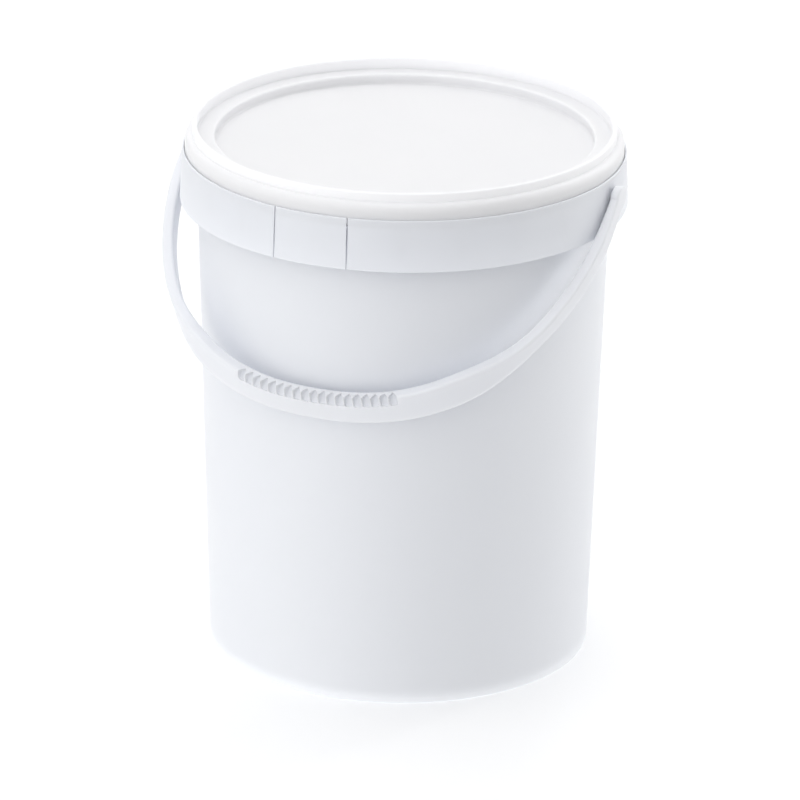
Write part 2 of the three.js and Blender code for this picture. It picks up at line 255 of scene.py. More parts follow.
def lid_outline():
    """The lid's section, from the middle of its underside round to the middle of its panel."""
    ledge_bottom = BUCKET_HEIGHT + LID_SEAT_GAP
    ledge_top = ledge_bottom + LID_WALL
    panel_top = ledge_top - PANEL_DROP
    panel = FOOT_RADIUS - LEDGE_OVERLAP
    stack_inside = MOUTH_RADIUS - STACK_WALL_INSET
    stack_outside = stack_inside + STACK_WALL
    plug = wall_radius(ledge_bottom - PLUG_DEPTH) - WALL - PLUG_GAP
    skirt_inside = SKIRT_RADIUS - LID_SKIN
    shoulder_bottom = ledge_top + SHOULDER_RISE - SHOULDER_HEIGHT
    snap = MOUTH_RADIUS + BEAD_REACH + SNAP_GAP
    snap_middle = SKIRT_BOTTOM + SNAP_HEIGHT
    before = rounded([
        (0, panel_top - LID_WALL, 0),
        (panel + LID_WALL, panel_top - LID_WALL, 2.2),
        (panel + LID_WALL, ledge_bottom, 0.8),
        (plug - PLUG_LIP, ledge_bottom, 0.5),
        (plug - PLUG_LIP, ledge_bottom - PLUG_DEPTH, 0.4),
        (plug, ledge_bottom - PLUG_DEPTH, 0.9),
        (plug, ledge_bottom, 0.3),
        (skirt_inside - LID_SKIN, ledge_bottom, 0.8),
        (skirt_inside, shoulder_bottom, 1.2),
        (skirt_inside, snap_middle + SNAP_HEIGHT, 0.8),
        (snap, snap_middle, 0.7),
        (snap, snap_middle - SNAP_HEIGHT / 3, 0.5),
        (skirt_inside, SKIRT_BOTTOM, 0.3),
        (SKIRT_RADIUS, SKIRT_BOTTOM, 0.4),
        (SKIRT_RADIUS, shoulder_bottom, 0),
    ])
    turn = np.radians(np.linspace(0, 84, 15))[1:]
    reach = SKIRT_RADIUS - stack_outside
    shoulder = np.stack([
        stack_outside + reach * np.cos(turn),
        shoulder_bottom + SHOULDER_HEIGHT * np.sin(turn),
    ], 1)
    after = rounded([
        (*shoulder[-1], 0),
        (stack_outside, ledge_top + SHOULDER_RISE, 0.5),
        (stack_outside, LID_TOP, 1.3),
        (stack_inside, LID_TOP, 1.3),
        (stack_inside, ledge_top, 1.0),
        (panel, ledge_top, 1.5),
        (panel, panel_top, 1.6),
        (0, panel_top, 0),
    ])
    return np.concatenate([before, shoulder[:-1], after])


# Meshes

def new_piece(name, vertices, faces, material, body, slot):
    """A finished mesh object at the origin, smooth but for its sharp edges, riding on its body."""
    mesh = bpy.data.meshes.new(name)
    mesh.from_pydata([tuple(v) for v in np.asarray(vertices) * MM], [], faces)
    mesh.validate()
    return add_piece(name, mesh, material, body)


def add_piece(name, mesh, material, body):
    piece = bpy.data.objects.new(name, mesh)
    bpy.context.scene.collection.objects.link(piece)
    mesh.materials.clear()
    mesh.materials.append(material)
    mesh.shade_smooth()
    mesh.set_sharp_from_angle(angle=math.radians(SHARP_ANGLE))
    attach(piece, body)
    return piece


def baked(piece):
    """Takes what the piece's modifiers make as its plain mesh, and removes them."""
    evaluated = piece.evaluated_get(bpy.context.evaluated_depsgraph_get())
    mesh = bpy.data.meshes.new_from_object(evaluated)
    piece.modifiers.clear()
    piece.data = mesh
    mesh.shade_smooth()
    mesh.set_sharp_from_angle(angle=math.radians(SHARP_ANGLE))


def turned(outline, headings, gap=None):
    """Vertices and faces of an outline turned about the axis, closed at its poles.

    gap is (first point, last point, columns): there the outline jumps from one point to the
    other, which cuts a slot through what lies between them.
    """
    poles = outline[:, 0] < 1e-6
    rings, vertices, faces = [], [], []
    turn = np.radians(headings)
    for (radius, height), pole in zip(outline, poles):
        first = len(vertices)
        if pole:
            vertices.append((0, 0, height))
            rings.append([first] * len(turn))
        else:
            vertices.extend(zip(radius * np.sin(turn), -radius * np.cos(turn), [height] * len(turn)))
            rings.append(list(range(first, first + len(turn))))
    first, last, columns = gap or (0, 0, ())
    for column in range(len(turn)):
        ahead = (column + 1) % len(turn)
        cut = column in columns
        strips = [(i, i + 1) for i in range(len(outline) - 1) if not (cut and first <= i < last)]
        if cut:
            strips.append((first, last))
            faces.append([rings[i][column] for i in range(last, first - 1, -1)])
            faces.append([rings[i][ahead] for i in range(first, last + 1)])
        for low, high in strips:
            face = [rings[low][column], rings[low][ahead], rings[high][ahead], rings[high][column]]
            faces.append(list(dict.fromkeys(face)))
    return vertices, faces


def all_headings(extra=()):
    """Evenly spaced headings, with those near an extra one moved out of its way."""
    even = np.arange(-180, 180, TURN_STEP)
    for heading in extra:
        even = even[np.abs(even - heading) > TURN_STEP / 2]
    return np.sort(np.concatenate([even, extra]))


# Materials

def moulded_plastic(name, colour, roughness, grain, marks, painted_shade_above=1.0, painted_shade=1.0):
    """Satin moulded plastic: a fine grain, faint flow marks along Z, and an uneven polish.

    Above the height painted_shade_above the colour is multiplied by painted_shade. This is painted
    shade: it stands in for the light that does not come through the wall from behind up there.
    """
    material = bpy.data.materials.new(name)
    material.use_nodes = True
    nodes, links = material.node_tree.nodes, material.node_tree.links
    shader = nodes["Principled BSDF"]
    shader.inputs["IOR"].default_value = 1.49
    shader.inputs["Subsurface Weight"].default_value = 0.35
    shader.inputs["Subsurface Radius"].default_value = (1.0, 1.0, 1.0)
    shader.inputs["Subsurface Scale"].default_value = 0.012
    place = nodes.new("ShaderNodeTexCoord")

    def noise(scale, detail, stretch=(1, 1, 1)):
        mapping = nodes.new("ShaderNodeMapping")
        mapping.inputs["Scale"].default_value = stretch
        texture = nodes.new("ShaderNodeTexNoise")
        texture.inputs["Scale"].default_value = scale
        texture.inputs["Detail"].default_value = detail
        links.new(place.outputs["Object"], mapping.inputs["Vector"])
        links.new(mapping.outputs["Vector"], texture.inputs["Vector"])
        return texture.outputs["Fac"]

    def ranged(value, low, high, start=0.3, end=0.7):
        node = nodes.new("ShaderNodeMapRange")
        node.inputs["From Min"].default_value = start
        node.inputs["From Max"].default_value = end
        node.inputs["To Min"].default_value = low
        node.inputs["To Max"].default_value = high
        links.new(value, node.inputs["Value"])
        return node.outputs["Result"]

    tint = nodes.new("ShaderNodeMix")
    tint.data_type = "RGBA"
    tint.inputs["A"].default_value = (*colour, 1)
    tint.inputs["B"].default_value = (*(0.985 * c for c in colour[:2]), 0.992 * colour[2], 1)
    links.new(ranged(noise(9, 3, (1, 1, 0.35)), 0, 1), tint.inputs["Factor"])
    height = nodes.new("ShaderNodeSeparateXYZ")
    links.new(place.outputs["Object"], height.inputs["Vector"])
    # Painted shade: the colour is scaled down above a set height.
    painted_shade_scaling = nodes.new("ShaderNodeVectorMath")
    painted_shade_scaling.operation = "SCALE"
    links.new(tint.outputs["Result"], painted_shade_scaling.inputs[0])
    painted_shade_ramp = ranged(height.outputs["Z"], 1.0, painted_shade, painted_shade_above, painted_shade_above + MM)
    links.new(painted_shade_ramp, painted_shade_scaling.inputs["Scale"])
    links.new(painted_shade_scaling.outputs["Vector"], shader.inputs["Base Color"])

    polish = ranged(noise(26, 4), roughness - 0.05, roughness + 0.06)
    links.new(polish, shader.inputs["Roughness"])

    flow = nodes.new("ShaderNodeBump")
    flow.inputs["Strength"].default_value = marks
    flow.inputs["Distance"].default_value = 0.0006
    links.new(noise(34, 2, (1, 1, 0.06)), flow.inputs["Height"])
    fine = nodes.new("ShaderNodeBump")
    fine.inputs["Strength"].default_value = grain
    fine.inputs["Distance"].default_value = 0.00006
    links.new(noise(1400, 3), fine.inputs["Height"])
    links.new(flow.outputs["Normal"], fine.inputs["Normal"])
    links.new(fine.outputs["Normal"], shader.inputs["Normal"])
    return material


# Painted shade: the bucket's colour is 9 percent darker from just below the collar's lower edge upwards.
BUCKET_PLASTIC = moulded_plastic("bucket_plastic", (0.885, 0.91, 0.963), 0.4, 0.25, 0.1,
                                 painted_shade_above=(COLLAR_BOTTOM - 1) * MM, painted_shade=0.91)
LID_PLASTIC = moulded_plastic("lid_plastic", (0.89, 0.892, 0.91), 0.35, 0.2, 0.06)
HANDLE_PLASTIC = moulded_plastic("handle_plastic", (0.75, 0.763, 0.795), 0.34, 0.3, 0.08)


# Geometry Nodes

class Tree:
    """A Geometry Nodes tree with named number inputs, ending in Realize Instances and Set Material."""

    def __init__(self, name, inputs):
        self.tree = bpy.data.node_groups.new(name, "GeometryNodeTree")
        face = self.tree.interface
        face.new_socket("Geometry", in_out="INPUT", socket_type="NodeSocketGeometry")
        self.ids = {}
        for label, value in inputs.items():
            kind = "NodeSocketInt" if isinstance(value, int) else "NodeSocketFloat"
            socket = face.new_socket(label, in_out="INPUT", socket_type=kind)
            socket.default_value = value
            self.ids[label] = socket.identifier
        face.new_socket("Geometry", in_out="OUTPUT", socket_type="NodeSocketGeometry")
        self.inputs = inputs
        self.entry = self.tree.nodes.new("NodeGroupInput")

    def node(self, kind, **settings):
        made = self.tree.nodes.new(kind)
        for key, value in settings.items():
            setattr(made, key, value)
        return made

    def link(self, source, target):
        self.tree.links.new(source, target)

    def feed(self, target, value):
        if hasattr(value, "is_output"):
            self.link(value, target)
        else:
            target.default_value = value

    def math(self, operation, *values):
        made = self.node("ShaderNodeMath", operation=operation)
        for socket, value in zip(made.inputs, values):
            self.feed(socket, value)
        return made.outputs[0]

    def named(self, label):
        return self.entry.outputs[label]

    def finish(self, geometry, material):
        real = self.node("GeometryNodeRealizeInstances")
        paint = self.node("GeometryNodeSetMaterial")
        paint.inputs["Material"].default_value = material
        out = self.node("NodeGroupOutput")
        self.link(geometry, real.inputs["Geometry"])
        self.link(real.outputs["Geometry"], paint.inputs["Geometry"])
        self.link(paint.outputs["Geometry"], out.inputs["Geometry"])

    def apply(self, piece):
        modifier = piece.modifiers.new(self.tree.name, "NODES")
        modifier.node_group = self.tree
        for label, value in self.inputs.items():
            modifier[self.ids[label]] = value
        baked(piece)


def ribs_tree(material):
    """Copies one rib round the axis and leaves out those within the tear tab."""
    tree = Tree("ribs_round_the_axis", {
        "Count": RIB_COUNT,
        "Tab Heading": math.radians(TAB_HEADING),
        "Half Tab": math.radians(TAB_ARC / 2),
    })
    line = tree.node("GeometryNodeMeshLine")
    tree.link(tree.named("Count"), line.inputs["Count"])
    line.inputs["Offset"].default_value = (0, 0, 0)
    index = tree.node("GeometryNodeInputIndex").outputs["Index"]
    pitch = tree.math("DIVIDE", math.tau, tree.named("Count"))
    heading = tree.math("SUBTRACT", tree.math("MULTIPLY", tree.math("ADD", index, 0.5), pitch), math.pi)
    away = tree.math("ABSOLUTE", tree.math("SUBTRACT", heading, tree.named("Tab Heading")))
    kept = tree.node("FunctionNodeCompare", data_type="FLOAT", operation="GREATER_THAN")
    tree.link(away, kept.inputs[0])
    tree.link(tree.named("Half Tab"), kept.inputs[1])
    turn = tree.node("ShaderNodeCombineXYZ")
    tree.link(heading, turn.inputs["Z"])
    copies = tree.node("GeometryNodeInstanceOnPoints")
    tree.link(line.outputs["Mesh"], copies.inputs["Points"])
    tree.link(kept.outputs["Result"], copies.inputs["Selection"])
    tree.link(tree.named("Geometry"), copies.inputs["Instance"])
    tree.link(turn.outputs["Vector"], copies.inputs["Rotation"])
    tree.finish(copies.outputs["Instances"], material)
    return tree


def notches_tree(material):
    """Presses notches with round bottom corners into the grip's upper outer edge.

    The mesh brings, for each point, how far along the handle it lies, how far it is inside the
    edge, how far it lies down a notch from its top, and the direction in which a notch opens.
    """
    depth = NOTCH_TOP_REACH * NOTCH_FRONT_REACH / math.hypot(NOTCH_TOP_REACH, NOTCH_FRONT_REACH)
    tree = Tree("notches_along_the_grip", {
        "Count": NOTCH_COUNT,
        "Pitch": NOTCH_PITCH * MM,
        "Half Width": NOTCH_WIDTH / 2 * MM,
        "Corner": NOTCH_ROUND * MM,
        "Lip": NOTCH_LIP * MM,
        "Sink": NOTCH_SINK * MM,
        "End": NOTCH_END * MM,
        "Peak": NOTCH_PEAK * MM,
        "Depth": depth * MM,
    })

    def attribute(name, kind):
        made = tree.node("GeometryNodeInputNamedAttribute", data_type=kind)
        made.inputs["Name"].default_value = name
        return made.outputs["Attribute"]

    def smoothly(value, start, end, low, high):
        made = tree.node("ShaderNodeMapRange", interpolation_type="SMOOTHSTEP")
        for label, setting in (("Value", value), ("From Min", start), ("From Max", end),
                               ("To Min", low), ("To Max", high)):
            tree.feed(made.inputs[label], setting)
        return made.outputs["Result"]

    along = attribute("along", "FLOAT")
    pitch, half, corner = tree.named("Pitch"), tree.named("Half Width"), tree.named("Corner")
    half_pitch = tree.math("MULTIPLY", pitch, 0.5)
    across = tree.math("WRAP", along, half_pitch, tree.math("MULTIPLY", half_pitch, -1.0))
    down = tree.math("DIVIDE", attribute("down_notch", "FLOAT"), tree.named("Peak"))
    narrowed = tree.math("MAXIMUM", tree.math("SUBTRACT", 1.0, tree.math("MAXIMUM", down, 0.0)), 0.0)
    away = tree.math("ADD", tree.math("ABSOLUTE", across), tree.math("MULTIPLY", narrowed, half))
    turning = tree.math("MAXIMUM", tree.math("SUBTRACT", away, tree.math("SUBTRACT", half, corner)), 0.0)
    square = tree.math("SUBTRACT", tree.math("MULTIPLY", corner, corner),
                       tree.math("MULTIPLY", turning, turning))
    bowl = tree.math("SQRT", tree.math("MAXIMUM", square, 0.0))
    inside = tree.math("ADD", tree.math("SUBTRACT", tree.named("Depth"), corner), bowl)
    lip = smoothly(away, half, tree.math("ADD", half, tree.named("Lip")), 1.0, 0.0)
    reach = tree.math("MULTIPLY", tree.named("Count"), half_pitch)
    in_grip = tree.math("LESS_THAN", tree.math("ABSOLUTE", along), reach)
    pressed = tree.math("MULTIPLY", tree.math("MULTIPLY", inside, lip), in_grip)
    cut = tree.math("MAXIMUM", tree.math("ADD", attribute("inside_edge", "FLOAT"), pressed), 0.0)
    sunk = smoothly(tree.math("MULTIPLY", cut, tree.math("MULTIPLY", lip, in_grip)),
                    0.0, tree.named("End"), 0.0, tree.named("Sink"))
    over = tree.math("ADD", cut, sunk)
    push = tree.node("ShaderNodeVectorMath", operation="SCALE")
    tree.link(attribute("opening", "FLOAT_VECTOR"), push.inputs[0])
    tree.link(tree.math("MULTIPLY", over, -1.0), push.inputs["Scale"])
    moved = tree.node("GeometryNodeSetPosition")
    tree.link(tree.named("Geometry"), moved.inputs["Geometry"])
    tree.link(push.outputs["Vector"], moved.inputs["Offset"])
    tree.finish(moved.outputs["Geometry"], material)
    return tree


# Bucket

def pin_hole_cutters():
    """One cutter across the bucket for each pivot hole, joined as one mesh."""
    steps = HOLE_STEPS
    radius = PIN_RADIUS + PIN_GAP
    inside, outside = PAD_INSIDE - CUTTER_MARGIN, collar_radius(PIVOT_HEIGHT) + CUTTER_MARGIN
    vertices, faces = [], []
    for side in (-1, 1):
        first = len(vertices)
        for x in (side * inside, side * outside):
            for i in range(steps):
                turn = math.tau * i / steps
                vertices.append((x, radius * math.cos(turn), PIVOT_HEIGHT + radius * math.sin(turn)))
        near = list(range(first, first + steps))
        far = list(range(first + steps, first + 2 * steps))
        shell = [[near[i], near[(i + 1) % steps], far[(i + 1) % steps], far[i]] for i in range(steps)]
        shell += [near[::-1], far]
        faces += shell if side > 0 else [face[::-1] for face in shell]
    mesh = bpy.data.meshes.new("pin_hole_cutters")
    mesh.from_pydata([tuple(v) for v in np.array(vertices) * MM], [], faces)
    cutter = bpy.data.objects.new("pin_hole_cutters", mesh)
    bpy.context.scene.collection.objects.link(cutter)
    return cutter


def bored(pieces):
    """Cuts the pivot holes through the pieces, and removes the cutter."""
    cutter = pin_hole_cutters()
    for piece in pieces:
        cut = piece.modifiers.new("holes", "BOOLEAN")
        cut.operation = "DIFFERENCE"
        cut.solver = "EXACT"
        cut.object = cutter
    bpy.context.view_layer.update()
    for piece in pieces:
        baked(piece)
    bpy.data.objects.remove(cutter)


def bucket_shell():
    """Wall, floor, collar and web in one turned shell, with the slits beside the tear tab."""
    outline = bucket_outline()
    slit_root = collar_inside(WEB_BOTTOM) - SLIT_DEPTH
    roots = [int(np.argmin(np.hypot(outline[:, 0] - slit_root, outline[:, 1] - height)))
             for height in (WEB_BOTTOM, WEB_TOP)]
    half = math.degrees(SLIT / 2 / collar_radius(COLLAR_BOTTOM))
    edges = [TAB_HEADING + side * TAB_ARC / 2 + edge * half for side in (-1, 1) for edge in (-1, 1)]
    headings = all_headings(edges)
    columns = [int(np.argmin(np.abs(headings - edge))) for edge in (edges[0], edges[2])]
    return new_piece("bucket_shell", *turned(outline, headings, (*roots, columns)),
                     BUCKET_PLASTIC, "bucket", "bucket")


def pivot_pads():
    """The thickened pads behind the two pivot holes, as short lengths of a turned band."""
    vertices, faces = [], []
    half = math.degrees(PAD_HALF_WIDTH / PAD_INSIDE)
    low, high = WEB_BOTTOM - PAD_DEPTH, WEB_BOTTOM + WEB / 2
    for side in (90, -90):
        first = len(vertices)
        for heading in np.radians(np.linspace(side - half, side + half, PAD_STEPS + 1)):
            for radius, height in (
                (PAD_INSIDE, low), (collar_inside(low) + COLLAR_WALL / 2, low),
                (collar_inside(high) + COLLAR_WALL / 2, high), (PAD_INSIDE, high),
            ):
                vertices.append((radius * math.sin(heading), -radius * math.cos(heading), height))
        for i in range(PAD_STEPS):
            a = first + 4 * i
            for k in range(4):
                n = (k + 1) % 4
                faces.append([a + k, a + 4 + k, a + 4 + n, a + n])
        last = first + 4 * PAD_STEPS
        faces.append([first, first + 1, first + 2, first + 3])
        faces.append([last + 3, last + 2, last + 1, last])
    return new_piece("pivot_pads", vertices, faces, BUCKET_PLASTIC, "bucket", "bucket")


def collar_ribs():
    """Thin ribs in the channel under the web: one is made, and its tree copies it round the axis."""
    low, high = WEB_BOTTOM - RIB_DEPTH, WEB_BOTTOM + WEB / 2
    corners = [
        (wall_radius(low) - WALL / 2, low),
        (collar_inside(low) + COLLAR_WALL / 2, low),
        (collar_inside(high) + COLLAR_WALL / 2, high),
        (wall_radius(high) - WALL / 2, high),
    ]
    vertices = [(side * RIB / 2, -radius, height) for side in (-1, 1) for radius, height in corners]
    faces = [[0, 1, 2, 3], [7, 6, 5, 4]] + [[k, k + 4, (k + 1) % 4 + 4, (k + 1) % 4] for k in range(4)]
    piece = new_piece("collar_ribs", vertices, faces, BUCKET_PLASTIC, "bucket", "bucket")
    ribs_tree(BUCKET_PLASTIC).apply(piece)
    return piece


# Lid

def lid_shell():
    """The whole lid, turned."""
    return new_piece("lid_shell", *turned(lid_outline(), all_headings()), LID_PLASTIC, "lid", "lid")


# Handle

def smooth(value, low, high):
    share = np.clip((value - low) / (high - low), 0, 1)
    return share * share * (3 - 2 * share)


def handle_path():
    """Finely sampled inner line of the handle, its outward directions and its running length."""
    turn = np.linspace(0, math.pi, PATH_SAMPLES)
    power = 2 / HANDLE_FULLNESS
    across, forward = np.cos(turn), np.abs(np.sin(turn))
    x = HALF_SPAN * np.sign(across) * np.abs(across) ** power
    y = -HANDLE_REACH * forward ** power
    line = np.stack([x, y], 1)
    line[0], line[-1] = (HALF_SPAN, 0), (-HALF_SPAN, 0)
    length = np.concatenate([[0], np.cumsum(np.linalg.norm(np.diff(line, axis=0), axis=1))])
    along = np.gradient(line, axis=0)
    along /= np.linalg.norm(along, axis=1)[:, None]
    along[0], along[-1] = (0, -1), (0, 1)
    return line, np.stack([-along[:, 1], along[:, 0]], 1), length


def handle_stations(total):
    """Running lengths of the rings: close together at the notches' sides and the round ends."""
    half = NOTCH_WIDTH / 2
    corner = half - NOTCH_ROUND + NOTCH_ROUND * np.sin(np.radians([0, 20, 40, 60, 76, 90]))
    beyond = half + NOTCH_LIP * np.array([0.25, 0.5, 0.75, 1.0])
    side = np.concatenate([np.linspace(0, half - NOTCH_ROUND, 5)[:-1], corner, beyond])
    one = np.unique(np.concatenate([-side, side]))
    centres = (np.arange(NOTCH_COUNT) - (NOTCH_COUNT - 1) / 2) * NOTCH_PITCH
    grip = (centres[:, None] + one[None, :]).ravel() + total / 2
    reach = NOTCH_COUNT * NOTCH_PITCH / 2
    arm = np.linspace(EYE_RADIUS, total / 2 - reach - 0.5, ARM_RINGS)
    round_end = EYE_RADIUS * np.cos(np.radians(np.linspace(180, 0, 33)))
    end = np.concatenate([round_end[:-1], arm])
    return np.concatenate([end, np.sort(grip), total - end[::-1]])


def ring(thickness, width):
    """The handle's section, outward and upward, fine where the notches lie."""
    half = width / 2
    edge = min(EDGE_ROUND, 0.48 * width, 0.48 * thickness)

    def arc(out, up, start, steps):
        turn = np.radians(np.linspace(start, start - 90, steps + 1))
        return np.stack([out + edge * np.cos(turn), up + edge * np.sin(turn)], 1)

    def line(a, b, steps):
        return np.linspace(a, b, steps + 1)[1:-1]

    notch_foot = max(half - NOTCH_FRONT_REACH - 1.5, 0)
    return np.concatenate([
        arc(edge, half - edge, 180, 4),
        line((edge, half), (thickness - edge, half), 20),
        arc(thickness - edge, half - edge, 90, 8),
        line((thickness, half - edge), (thickness, notch_foot), 14),
        line((thickness, notch_foot), (thickness, edge - half), 4),
        arc(thickness - edge, edge - half, 0, 4),
        line((thickness - edge, -half), (edge, -half), 4),
        arc(edge, edge - half, 270, 4),
        line((0, edge - half), (0, half - edge), 5),
    ])


def hang_angle():
    """How far below level the handle hangs, in radians, with the grip's inner edge on the wall."""
    taper = WALL_LEAN / BUCKET_HEIGHT
    roll = math.radians(GRIP_ROLL)
    reach = HANDLE_REACH + GRIP_WIDTH / 2 * math.sin(roll)
    depth = GRIP_WIDTH / 2 * math.cos(roll)
    level, upright = reach + taper * depth, taper * reach - depth
    target = wall_radius(PIVOT_HEIGHT) + HANDLE_REST_GAP * math.hypot(1, taper)
    return math.atan2(upright, level) + math.acos(target / math.hypot(level, upright))


def hung(vertices):
    """From the handle's own flat frame to where it hangs."""
    turn = Matrix.Rotation(hang_angle(), 3, "X")
    return np.asarray(vertices) @ np.array(turn).T + np.array([0, 0, PIVOT_HEIGHT])


def place_on_path(path, station):
    """Place and outward direction at a running length, which may lie a little past the pivots."""
    line, outward, length = path
    total = length[-1]
    if station < 0:
        return np.array([HALF_SPAN, -station]), np.array([1.0, 0.0])
    if station > total:
        return np.array([-HALF_SPAN, station - total]), np.array([-1.0, 0.0])
    place = np.array([np.interp(station, length, line[:, k]) for k in (0, 1)])
    out = np.array([np.interp(station, length, outward[:, k]) for k in (0, 1)])
    return place, out / np.linalg.norm(out)


def section_sizes(from_middle, from_end):
    """Width, thickness and roll of the handle's section, from grip through arm to round end."""
    arm = smooth(from_middle, GRIP_LENGTH / 2, GRIP_LENGTH / 2 + GRIP_BLEND)
    eye = smooth(EYE_BLEND - from_end, 0, EYE_BLEND)
    width = GRIP_WIDTH + (ARM_WIDTH - GRIP_WIDTH) * arm
    thickness = GRIP_THICKNESS + (ARM_THICKNESS - GRIP_THICKNESS) * arm
    thickness += (EYE_THICKNESS - thickness) * eye
    chord = 2 * math.sqrt(max(EYE_RADIUS ** 2 - from_end ** 2, 0.02))
    if from_end < 0:
        width = chord
    elif from_end < EYE_RADIUS:
        width = max(chord, ARM_WIDTH)
    return width, thickness, math.radians(GRIP_ROLL) * (1 - arm)


def handle_bow():
    """The handle's arms, grip and round ends, with what the notches' tree needs on each point."""
    path = handle_path()
    total = path[2][-1]
    scale = math.hypot(NOTCH_TOP_REACH, NOTCH_FRONT_REACH)
    opening_out, opening_up = NOTCH_FRONT_REACH / scale, NOTCH_TOP_REACH / scale
    vertices, alongs, insides, downs, openings = [], [], [], [], []
    stations = handle_stations(total)
    for station in stations:
        place, out = place_on_path(path, station)
        from_middle = abs(station - total / 2)
        width, thickness, roll = section_sizes(from_middle, total / 2 - from_middle)
        turned_out, turned_up = math.cos(roll), math.sin(roll)
        open_level = opening_out * turned_out - opening_up * turned_up
        open_upright = opening_out * turned_up + opening_up * turned_out
        section = ring(thickness, width)
        for u, n in section:
            level, upright = u * turned_out - n * turned_up, u * turned_up + n * turned_out
            vertices.append((*(place + out * level), upright))
            alongs.append(station - total / 2)
            insides.append((u - thickness) * opening_out + (n - width / 2) * opening_up)
            downs.append((u - thickness + NOTCH_TOP_REACH) * opening_up - (n - width / 2) * opening_out)
            openings.append((*(out * open_level), open_upright))
    size = len(section)
    faces = []
    for row in range(len(stations) - 1):
        for i in range(size):
            n = (i + 1) % size
            faces.append([row * size + n, row * size + i, (row + 1) * size + i, (row + 1) * size + n])
    last = (len(stations) - 1) * size
    faces.append(list(range(size)))
    faces.append(list(range(last + size - 1, last - 1, -1)))
    turn = np.array(Matrix.Rotation(hang_angle(), 3, "X"))
    piece = new_piece("handle_bow", hung(vertices), faces, HANDLE_PLASTIC, "handle", "handle")
    mesh = piece.data
    for name, kind, values, field in (
        ("along", "FLOAT", np.array(alongs) * MM, "value"),
        ("inside_edge", "FLOAT", np.array(insides) * MM, "value"),
        ("down_notch", "FLOAT", np.array(downs) * MM, "value"),
        ("opening", "FLOAT_VECTOR", (np.array(openings) @ turn.T).ravel(), "vector"),
    ):
        mesh.attributes.new(name, kind, "POINT").data.foreach_set(field, values.astype(np.float32))
    notches_tree(HANDLE_PLASTIC).apply(piece)
    for name in ("along", "inside_edge", "down_notch", "opening"):
        if name in piece.data.attributes:
            piece.data.attributes.remove(piece.data.attributes[name])
    return piece


def handle_pins():
    """The two pins with their snap heads, each turned about the pivot line."""
    head_outside = PAD_INSIDE - PIN_HEAD_GAP
    head_inside = head_outside - PIN_HEAD
    outline = rounded([
        (0, head_inside, 0),
        (PIN_HEAD_RADIUS, head_inside, PIN_HEAD_ROUND),
        (PIN_HEAD_RADIUS, head_outside, 0.3),
        (PIN_RADIUS, head_outside, 0.2),
        (PIN_RADIUS, HALF_SPAN + EYE_THICKNESS / 2, 0),
        (0, HALF_SPAN + EYE_THICKNESS / 2, 0),
    ])
    points, shell = turned(outline, np.arange(0, 360, PIN_STEP))
    points = np.array(points)
    vertices, faces = [], []
    for side in (1, -1):
        lay = np.array(Matrix.Rotation(side * math.pi / 2, 3, "Y"))
        first = len(vertices)
        vertices.extend(points @ lay.T)
        faces.extend([[first + i for i in face] for face in shell])
    return new_piece("handle_pins", hung(vertices), faces, HANDLE_PLASTIC, "handle", "handle")


shell = bucket_shell()
pads = pivot_pads()
bored([shell, pads])
ribs = collar_ribs()
for piece in (shell, pads, ribs):
    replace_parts(piece, "bucket")

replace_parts(lid_shell(), "lid")

for piece in (handle_bow(), handle_pins()):
    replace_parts(piece, "handle")


# Stage, light and camera

FLOOR_HALF = 12.0
FLOOR_DROP = 0.0004
FLOOR_WHITE = (0.97, 0.97, 0.97, 1)
CAMERA_HEADING = 22.8
CAMERA_ELEVATION = 20.98
CAMERA_DISTANCE = 4.597
CAMERA_ROLL = 0.77
CAMERA_LENS = 303.6
SENSOR_WIDTH = 36.0
ORBIT_HEIGHT = 0.185
EXPOSURE = 0.08
AIM_HEIGHT = 0.1688
AIM_ASIDE = -0.0008

# The surround is brightest low on the right and dimmest high above it
SURROUND_LEVEL = 0.78
SURROUND_LOBES = [
    (CAMERA_HEADING - 100, 12, 60, -0.2),
    (CAMERA_HEADING - 50, 12, 60, 0.45),
    (CAMERA_HEADING - 15, 0, 45, 0.3),
    (CAMERA_HEADING + 15, 0, 45, -0.3),
    (CAMERA_HEADING + 70, 0, 45, -0.7),
    (CAMERA_HEADING + 20, 50, 45, 0.45),
    (CAMERA_HEADING + 75, 50, 45, -1.5),
    (CAMERA_HEADING - 40, 50, 45, -0.2),
    (CAMERA_HEADING + 100, 12, 60, 1.35),
    (CAMERA_HEADING + 135, 12, 60, -0.25),
    (CAMERA_HEADING + 180, 12, 60, 0.2),
    (CAMERA_HEADING, 90, 60, 0.9),
    (CAMERA_HEADING, -90, 80, 0.65),
    (CAMERA_HEADING + 20, -45, 45, -0.7),
]

SOFTBOX_HEADING = CAMERA_HEADING + 128
SOFTBOX_ELEVATION = 36
SOFTBOX_DISTANCE = 2.0
SOFTBOX_SIZE = (0.16, 1.4)
SOFTBOX_POWER = 2.6


def white_floor():
    """A pale ground with a little gloss, level with the foot."""
    mesh = bpy.data.meshes.new("floor")
    h = FLOOR_HALF
    mesh.from_pydata([(-h, -h, -FLOOR_DROP), (h, -h, -FLOOR_DROP), (h, h, -FLOOR_DROP), (-h, h, -FLOOR_DROP)],
                     [], [[0, 1, 2, 3]])
    floor = bpy.data.objects.new("floor", mesh)
    bpy.context.scene.collection.objects.link(floor)
    # The surround's lower half stands in for the light that the floor would throw back.
    floor.visible_diffuse = False
    floor.visible_shadow = False
    material = bpy.data.materials.new("white_ground")
    material.use_nodes = True
    shader = material.node_tree.nodes["Principled BSDF"]
    shader.inputs["Base Color"].default_value = FLOOR_WHITE
    shader.inputs["Roughness"].default_value = 0.25
    shader.inputs["Specular IOR Level"].default_value = 0.8
    mesh.materials.append(material)


def direction(heading, elevation):
    """The unit vector that points from the object to a heading and elevation."""
    a, e = math.radians(heading), math.radians(elevation)
    return Vector((math.sin(a) * math.cos(e), -math.cos(a) * math.cos(e), math.sin(e)))


